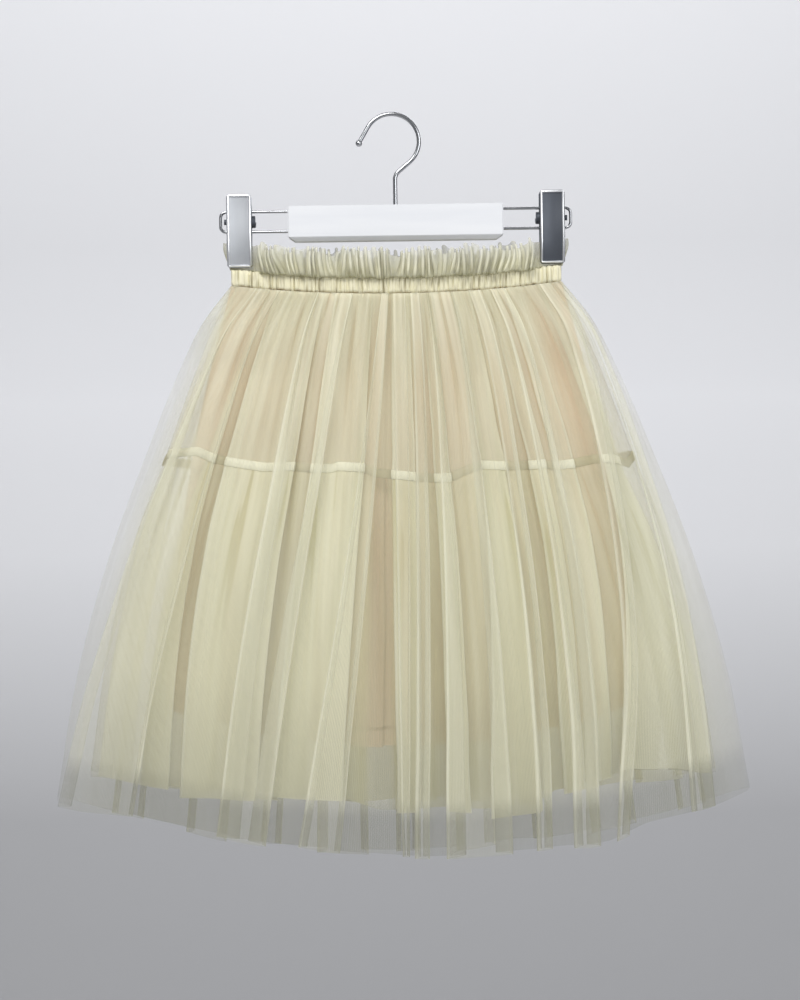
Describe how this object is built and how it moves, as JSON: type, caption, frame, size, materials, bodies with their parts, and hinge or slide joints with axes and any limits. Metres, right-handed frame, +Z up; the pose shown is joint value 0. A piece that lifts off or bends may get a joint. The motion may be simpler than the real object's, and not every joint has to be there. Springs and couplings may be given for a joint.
{
  "type": "tulle skirt on a clip hanger",
  "caption": "Tiered tulle skirt with a sheer outer layer, a lining and a frilled elastic waist, hung by two clips from a hanger with a wire hook.",
  "frame": {"origin": "underside of the hook's crown, in line with its shank, where a peg or rail holds the hanger", "axes": "+Z up, +X to the right of someone facing the skirt's front, and the front faces -Y"},
  "size_m": [0.555, 0.1464, 0.5867],
  "materials": {
    "outer_tulle": "sheer cream net, soft",
    "tier_tulle": "cream net in two gathered tiers",
    "seam_tape": "pale cream binding",
    "lining_cloth": "smooth nude lining, slight sheen",
    "casing_tulle": "net gathered tightly over elastic",
    "frill_tulle": "gathered net ruffle",
    "white_paint": "white satin paint",
    "hook_chrome": "polished plating",
    "wire_chrome": "polished plating",
    "clip_steel": "brushed plating"
  },
  "bodies": {
    "root": {"frill_front": "frill_tulle", "frill_back": "frill_tulle", "casing_front": "casing_tulle", "casing_back": "casing_tulle", "outer_front": "outer_tulle", "outer_back": "outer_tulle", "tier_upper_front": "tier_tulle", "tier_upper_back": "tier_tulle", "tier_tape_front": "seam_tape", "tier_tape_back": "seam_tape", "tier_lower_front": "tier_tulle", "tier_lower_back": "tier_tulle", "lining_front": "lining_cloth", "lining_back": "lining_cloth", "hanger_hook": "hook_chrome", "hanger_block": "white_paint", "hanger_wire_left": "wire_chrome", "hanger_wire_right": "wire_chrome", "clip_saddle_left": "clip_steel", "clip_saddle_right": "clip_steel", "clip_jaw_left_front": "clip_steel", "clip_jaw_left_back": "clip_steel", "clip_jaw_right_front": "clip_steel", "clip_jaw_right_back": "clip_steel"}
  },
  "joints": []
}
